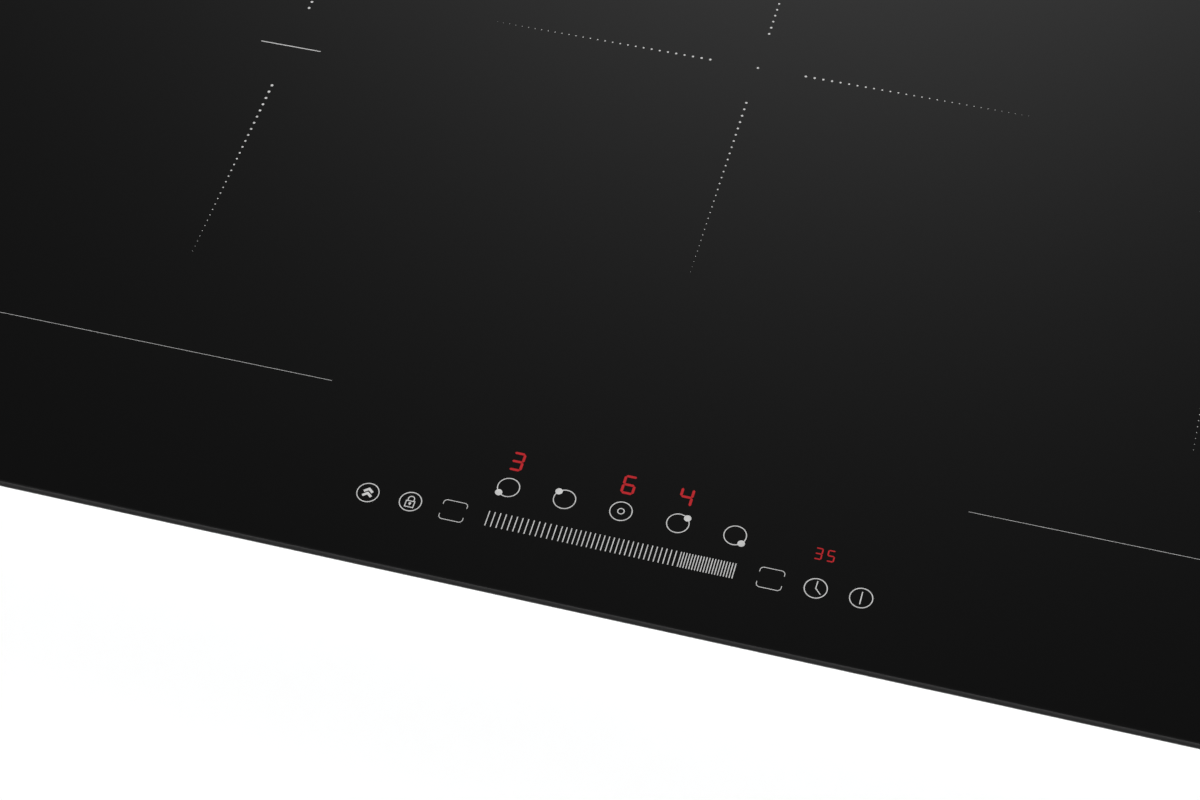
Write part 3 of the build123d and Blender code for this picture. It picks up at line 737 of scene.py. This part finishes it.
def printSideKeys(look):
    rings = Print("side_key_rings")
    for x in (-look["outer"], -look["inner"], look["inner"], look["outer"]):
        rings.ring((x, look["row"]), look["radius"], look["stroke"])
    rings.done()


boostSign = {"steps": (-1.75, 0.35), "half": 1.85, "rise": 1.5, "stroke": 1.1}  # two arrow heads


def printBoost(look, x, y):
    sign = Print("boost_sign")
    half = look["half"]
    for step in look["steps"]:
        foot = y + step
        arrow = [(x - half, foot), (x, foot + look["rise"]), (x + half, foot)]
        sign.line(arrow, look["stroke"], rounded=False)
    sign.done()


lockSign = {
    "half": 1.75,
    "bottom": -2.6,
    "top": 0.3,
    "stroke": 0.4,
    "legs": 1.25,
    "legTop": 1.35,
    "archSides": 14,
    "keyhole": 0.55,
    "keyholeDrop": -0.85,
    "keyholeSides": 20,
    "stem": -1.75,
    "stemProud": 0.025,
}


def printLock(look, x, y):
    half, legs, stroke = look["half"], look["legs"], look["stroke"]
    bottom, top = y + look["bottom"], y + look["top"]
    foot = top + stroke / 2  # the bow stands on the body
    keyhole = (x, y + look["keyholeDrop"])
    lock = Print("lock_sign")
    lock.loop([(x - half, bottom), (x + half, bottom), (x + half, top), (x - half, top)], stroke)
    arch = circle((x, y + look["legTop"]), legs, look["archSides"], 180, -180)
    lock.line([(x - legs, foot), *arch, (x + legs, foot)], stroke, rounded=False)
    lock.disc(keyhole, look["keyhole"], look["keyholeSides"])
    lock.done()
    stem = Print("lock_keyhole_stem", proud=look["stemProud"])
    stem.line([keyhole, (x, y + look["stem"])], stroke, rounded=False)
    stem.done()


clockSign = {"minute": (0.1, 3.3), "hour": (2.2, -2.3), "stroke": 0.41}


def printClock(look, x, y):
    sign = Print("clock_sign")
    minute, hour = ((x + i, y + j) for i, j in (look["minute"], look["hour"]))
    sign.line([minute, (x, y), hour], look["stroke"])
    sign.done()


powerSign = {"bottom": -2.75, "top": 2.75, "stroke": 0.45}


def printPower(look, x, y):
    sign = Print("power_sign")
    sign.line([(x, y + look["bottom"]), (x, y + look["top"])], look["stroke"])
    sign.done()


bridgeSign = {
    "place": 65.0,
    "half": 4.95,
    "top": 35.85,
    "topEnd": 33.6,
    "bottom": 26.5,
    "bottomEnd": 28.8,
    "corner": 1.5,
    "cornerSides": 8,
    "stroke": 0.285,
}


def bracket(look, x, level, end, turn):
    # a run at level, two rounded corners and short legs to end, which is higher for turn 1, lower for -1
    half, corner, sides = look["half"], look["corner"], look["cornerSides"]
    row = level + turn * corner
    left = circle((x - half + corner, row), corner, sides, 180, 90 * turn)
    right = circle((x + half - corner, row), corner, sides, 180 + 90 * turn, 90 * turn)
    return [(x - half, end), *left, *right, (x + half, end)]


def printBridges(look):
    signs = Print("bridge_signs")
    for x in (-look["place"], look["place"]):
        signs.line(bracket(look, x, look["top"], look["topEnd"], -1), look["stroke"])
        signs.line(bracket(look, x, look["bottom"], look["bottomEnd"], 1), look["stroke"])
    signs.done()


printZoneKeys(zoneKeys)
printSlider(slider)
printSideKeys(sideKeys)
printBoost(boostSign, -sideKeys["outer"], sideKeys["row"])
printLock(lockSign, -sideKeys["inner"], sideKeys["row"])
printClock(clockSign, sideKeys["inner"], sideKeys["row"])
printPower(powerSign, sideKeys["outer"], sideKeys["row"])
printBridges(bridgeSign)
print("control marks printed")

zoneDots = {
    "count": 30,  # in each row
    "start": 22.23,
    "pitch": 4.0865,
    "closing": 0.0409,  # the pitch shrinks by this from dot to dot
    "firstRadius": 0.56,
    "lastRadius": 0.1,
    "sides": 16,
    "middle": (-3.72, 297.65),
    "middleSides": 20,
    "sideX": 215.3,
    "sideY": 256.76,
    "sideGrowth": 1.17,  # dots of the side zones against the middle one's
    "dash": 14.3,  # half length of the line at mid-depth
    "dashStroke": 0.45,
}


def dotRow(dots, look, start, heading, growth):
    (x, y), (i, j) = start, heading
    for k in range(look["count"]):
        reach = look["start"] + look["pitch"] * k - look["closing"] * k * k / 2
        share = k / (look["count"] - 1)
        radius = look["firstRadius"] + (look["lastRadius"] - look["firstRadius"]) * share
        dots.disc((x + i * reach, y + j * reach), radius * growth, look["sides"])


def printZoneDots(look):
    dots = Print("zone_dots")
    dots.disc(look["middle"], look["firstRadius"], look["middleSides"])
    for heading in ((1, 0), (-1, 0), (0, 1), (0, -1)):
        dotRow(dots, look, look["middle"], heading, 1.0)
    sides = (-look["sideX"], look["sideX"])
    for x in sides:
        dotRow(dots, look, (x, look["sideY"]), (0, -1), look["sideGrowth"])
        dotRow(dots, look, (x, glassDepth - look["sideY"]), (0, 1), look["sideGrowth"])
    middle = glassDepth / 2
    for x in sides:
        dots.line([(x - look["dash"], middle), (x + look["dash"], middle)], look["dashStroke"])
    dots.done()


zoneLines = {"row": 81.34, "inner": 133.67, "outer": 296.9, "stroke": 0.145}


def printZoneLines(look):
    lines = Print("zone_lines")
    for side in (-1, 1):
        for y in (look["row"], glassDepth - look["row"]):
            ends = [(side * look["inner"], y), (side * look["outer"], y)]
            lines.line(ends, look["stroke"], rounded=False)
    lines.done()


printZoneDots(zoneDots)
printZoneLines(zoneLines)
print("zone marks printed")


# Lit digits: seven bars each, with pointed ends, let into the top of the glass

digitLook = {
    "colour": (0.43, 0.0155, 0.0205),
    "strength": 1.0,
    "uneven": 900,
    "unevenDetail": 2.0,
    "glowShades": (0.86, 1.1),
    "bodyColours": ((0.012, 0.001, 0.001), (0.02, 0.002, 0.002)),
    "roughness": 0.08,
    "proud": 0.012,
}
digitBars = {"3": "abgcd", "4": "fgbc", "5": "afgcd", "6": "afgedc"}
barEnds = {  # column -1 or 1, row -1 for the bottom to 1 for the top
    "a": ((-1, 1), (1, 1)),
    "b": ((1, 0), (1, 1)),
    "c": ((1, -1), (1, 0)),
    "d": ((-1, -1), (1, -1)),
    "e": ((-1, -1), (-1, 0)),
    "f": ((-1, 0), (-1, 1)),
    "g": ((-1, 0), (1, 0)),
}
barGap = 0.06  # left clear at both ends of a bar, as a share of its stroke
barPoint = 0.5  # length of the pointed end, as a share of the stroke
zoneDigits = {
    "half": 2.26,
    "top": 64.74,
    "bottom": 56.6,
    "stroke": 1.08,
    "shown": {-47.0: "3", -0.12: "6", 23.56: "4"},
}
timerDigits = {
    "half": 1.32,
    "top": 49.82,
    "bottom": 44.78,
    "stroke": 0.57,
    "shown": {80.58: "3", 85.56: "5"},
}


def lightFinish(name, look):
    finish = Finish(name)
    uneven = finish.noise(finish.flat, look["uneven"], look["unevenDetail"])
    finish.set(Emission_Color=finish.shades(uneven, look["colour"], look["glowShades"]))
    finish.set(Emission_Strength=look["strength"], Roughness=look["roughness"])
    finish.set(Base_Color=finish.tint(uneven, *look["bodyColours"]))
    return finish.material


digitLight = lightFinish("digit_light", digitLook)


def litDigits(name, look):
    digits = Print(name, proud=digitLook["proud"])
    middle = (look["top"] + look["bottom"]) / 2
    tall = (look["top"] - look["bottom"]) / 2
    stroke = look["stroke"]
    for x, figure in look["shown"].items():
        for bar in digitBars[figure]:
            first, last = (Vector((x + i * look["half"], middle + j * tall)) for i, j in barEnds[bar])
            along = (last - first).normalized()
            across = Vector((along.y, -along.x)) * stroke / 2
            tip = along * stroke * barGap
            waist = along * stroke * (barGap + barPoint)
            right = [first + tip, first + waist + across, last - waist + across]
            left = [last - tip, last - waist - across, first + waist - across]
            digits.shape([tuple(p) for p in right + left])
    digits.done("display_block", digitLight)


litDigits("zone_digits", zoneDigits)
litDigits("timer_digits", timerDigits)
print("digits lit")


# Foam seal and bond bead, soft strips that run round under the glass


def roundedRow(halfX, halfY, corner, steps=8):
    # points and outward headings round a rectangle with rounded corners
    places = []
    for i, j, start in ((1, 1, 0), (-1, 1, 90), (-1, -1, 180), (1, -1, 270)):
        middle = (i * (halfX - corner), j * (halfY - corner))
        for point in circle(middle, corner, steps, start, 90):
            heading = Vector((point[0] - middle[0], point[1] - middle[1])).normalized()
            places.append((Vector(point), heading))
    return places


def softStrip(name, node, slot, look):
    low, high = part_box(node)
    half = look["width"] * mm / 2
    tall = (high.z - low.z) / 2
    level = (low.z + high.z) / 2
    section = squarishRow(look["sides"], look["square"])
    rows = []
    for point, heading in roundedRow(high.x - half, high.y - half, look["corner"] * mm):
        places = [(point + heading * half * reach, level + tall * rise) for reach, rise in section]
        rows.append([(p.x, p.y, z) for p, z in places])
    bm = bmesh.new()
    skin(bm, rows, closed=True)
    strip = meshPiece(name, bm, slot, smooth=True)
    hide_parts(node)
    return strip


sealLook = {"width": 8.0, "corner": 4.2, "sides": 20, "square": 0.35}
foamSeal = softStrip("foam_seal", "worktop_seal", "seal_foam", sealLook)
beadLook = {"width": 5.0, "corner": 7.0, "sides": 14, "square": 0.6}
softStrip("silicone_bead", "bond_bead", "silicone", beadLook)
print("soft strips laid")


# Foam pads that carry each key's touch from the board up to the glass

padLook = {
    "sides": 24,
    "square": 0.4,
    "profile": (  # height, width
        (0.0, 0.86),
        (0.1, 0.94),
        (0.3, 1.0),
        (0.7, 1.0),
        (0.9, 0.94),
        (1.0, 0.86),
    ),
}


def touchPads(look):
    outline = squarishRow(look["sides"], look["square"])
    bm = bmesh.new()
    for low, high in solidBoxes("touch_pads"):
        middle, half = (low + high) / 2, (high - low) / 2
        rows = []
        for height, width in look["profile"]:
            wide, deep = half.x * width, half.y * width
            z = low.z + height * (high.z - low.z)
            rows.append([(middle.x + wide * x, middle.y + deep * y, z) for x, y in outline])
        skin(bm, rows)
    pads = meshPiece("foam_touch_pads", bm, "conductive_foam", smooth=True)
    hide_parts("touch_pads")


touchPads(padLook)
print("touch pads set")


# Wound copper: flat coils of stranded wire, and the chokes on the boards

coilPlan = {
    "bores": {
        "left_front": 24.0,
        "left_rear": 24.0,
        "centre": 34.0,
        "right_rear": 24.0,
        "right_front": 24.0,
    },
    "wire": 2.5,
    "pitch": 2.72,
    "margin": 0.9,  # inside the ring that the coil may fill
    "steps": 40,  # for each turn
    "lobes": 5,  # bundles of strands, laid together like a rope
    "lobeDepth": 0.1,
    "twist": 11.0,  # degrees from step to step
}


def woundCoil(zone, bore, plan):
    low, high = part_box(f"{zone}_winding")
    middle = (low + high) / 2
    wide = plan["wire"] * mm / 2
    tall = (high.z - low.z) / 2
    first = (bore + plan["margin"]) * mm + wide
    last = (high.x - low.x) / 2 - plan["margin"] * mm - wide
    step = plan["pitch"] * mm / plan["steps"]
    rows = []
    for i in range(int((last - first) / step)):
        around = fullTurn * i / plan["steps"]
        out = Vector((math.cos(around), math.sin(around), 0))
        row = []
        for k in range(2 * plan["lobes"]):
            a = math.pi * k / plan["lobes"] + math.radians(plan["twist"]) * i
            fat = 1 - plan["lobeDepth"] * (k % 2)
            p = middle + out * (first + step * i + wide * fat * math.cos(a))
            row.append((p.x, p.y, p.z + tall * fat * math.sin(a)))
        rows.append(row)
    bm = bmesh.new()
    skin(bm, rows)
    coil = meshPiece(f"{zone}_wound_coil", bm, "copper", smooth=True)
    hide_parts(f"{zone}_winding")


for zone, bore in coilPlan["bores"].items():
    woundCoil(zone, bore, coilPlan)

chokePlan = {
    "bore": 7.1,
    "outer": 15.1,
    "wire": 1.6,
    "turns": 20,
    "steps": 20,  # for each turn
    "sides": 6,
    "square": 0.5,
    "opening": 30.0,  # degrees between the first turn and the last
    "coreInset": 1.1,  # wire thicknesses from the outside of the turns to the core
    "coreSides": 36,
    "coreSection": 16,
}


def chokeSection(plan, inset):
    # half width of the ring's section, and the radius of its middle
    wide = (plan["outer"] - plan["bore"]) * mm / 2 - inset
    return wide, (plan["outer"] + plan["bore"]) * mm / 2


def chokeTurns(plan):
    wire = plan["wire"] * mm / 2
    wide, radius = chokeSection(plan, wire)
    count = plan["turns"] * plan["steps"]
    angles = [fullTurn * k / plan["sides"] for k in range(plan["sides"])]
    bm = bmesh.new()
    for low, high in solidBoxes("chokes"):
        middle = (low + high) / 2
        tall = (high.z - low.z) / 2 - wire
        points, cores = [], []
        for i in range(count + 1):
            along = math.radians(plan["opening"] / 2 + (360 - plan["opening"]) * i / count)
            out = Vector((math.cos(along), math.sin(along), 0))
            reach, rise = squarish(fullTurn * i / plan["steps"] - math.pi / 2, plan["square"])
            cores.append(middle + out * radius)
            points.append(cores[-1] + out * wide * reach + Vector((0, 0, tall * rise)))
        rows = []
        for i, p in enumerate(points):
            ahead = (points[min(i + 1, count)] - points[max(i - 1, 0)]).normalized()
            side = (p - cores[i]).cross(ahead).normalized()
            lift = ahead.cross(side)
            rows.append([p + wire * (side * math.cos(a) + lift * math.sin(a)) for a in angles])
        skin(bm, rows)
    turns = meshPiece("choke_turns", bm, "copper", smooth=True)
    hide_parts("chokes")


def chokeCores(plan):
    inset = plan["wire"] * mm * plan["coreInset"]
    wide, radius = chokeSection(plan, inset)
    section = squarishRow(plan["coreSection"], plan["square"])
    bm = bmesh.new()
    for low, high in solidBoxes("chokes"):
        middle = (low + high) / 2
        tall = (high.z - low.z) / 2 - inset
        rows = []
        for i in range(plan["coreSides"]):
            along = fullTurn * i / plan["coreSides"]
            out = Vector((math.cos(along), math.sin(along), 0))
            rows.append([middle + out * (radius + wide * x) + Vector((0, 0, tall * y)) for x, y in section])
        skin(bm, rows, closed=True)
    meshPiece("choke_cores", bm, "ferrite", smooth=True)


chokeTurns(chokePlan)
chokeCores(chokePlan)
print("coils and chokes wound")


# Screws through the tray's rim into the frame

screwLook = {
    "radius": 3.2,
    "height": 1.7,
    "profile": (  # width, height
        (1.0, 0.0),
        (1.0, 0.35),
        (0.93, 0.62),
        (0.74, 0.85),
        (0.42, 0.97),
    ),
    "sides": 28,
    "recess": 0.9,
    "slotLength": 3.4,
    "slotWidth": 0.75,
    "slotTaper": 0.8,  # width at the bottom of the cross against its top
    "cutTop": 1.5,  # top of the cutter, in head heights
    "spin": 23,  # degrees from screw to screw: no two are driven home alike
    "level": 44.0,
    "longSide": (-300.0, -100.0, 100.0, 300.0),
    "shortSide": (-150.0, 0.0, 150.0),
}


def raised(outline, scale, z):
    # an outline in mm, scaled about its middle and set at a height in metres
    return [(x * mm * scale, y * mm * scale, z) for x, y in outline]


def screwCross(look):
    # tapered cutter for the cross, an arm at a time
    long, short = look["slotLength"] / 2, look["slotWidth"] / 2
    cross = []
    for i, j in ((1, 0), (0, 1), (-1, 0), (0, -1)):
        for reach, side in ((long, -short), (long, short), (short, short)):
            cross.append((i * reach - j * side, j * reach + i * side))
    bottom = raised(cross, look["slotTaper"], (look["height"] - look["recess"]) * mm)
    top = raised(cross, 1, look["height"] * look["cutTop"] * mm)
    bm = bmesh.new()
    skin(bm, [bottom, top])
    return addObject("screwCross", plainMesh("screwCross", bm))


def screwHead(look):
    # domed head on its own axes, flat side on z = 0, with a cross let in
    rows = []
    for reach, rise in look["profile"]:
        outline = circle((0, 0), look["radius"] * reach, look["sides"])
        rows.append(raised(outline, 1, rise * look["height"] * mm))
    bm = bmesh.new()
    skin(bm, rows)
    head = addObject("screwHead", plainMesh("screwHead", bm))
    cutter = screwCross(look)
    cut = head.modifiers.new("cross", "BOOLEAN")
    cut.object = cutter
    cut.operation = "DIFFERENCE"
    cut.solver = "EXACT"
    final = head.evaluated_get(bpy.context.evaluated_depsgraph_get())
    shaped = bpy.data.meshes.new_from_object(final)
    bpy.data.objects.remove(head)
    bpy.data.objects.remove(cutter)
    return shaped


def frameScrews(look):
    low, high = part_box("base_tray")
    head = screwHead(look)
    z = look["level"] * mm
    places = []
    for x in look["longSide"]:
        places.append(((x * mm, low.y, z), (0, -1, 0)))
        places.append(((x * mm, high.y, z), (0, 1, 0)))
    for y in look["shortSide"]:
        places.append(((low.x, y * mm, z), (-1, 0, 0)))
        places.append(((high.x, y * mm, z), (1, 0, 0)))
    bm = bmesh.new()
    for k, (place, out) in enumerate(places):
        turn = Vector(out).to_track_quat("Z", "Y").to_matrix().to_4x4()
        spin = Matrix.Rotation(math.radians(look["spin"] * k), 4, "Z")
        copy = head.copy()
        copy.transform(Matrix.Translation(place) @ turn @ spin)
        bm.from_mesh(copy)
        bpy.data.meshes.remove(copy)
    meshPiece("frame_screws", bm, "zinc_screw")


frameScrews(screwLook)
print("screws set")
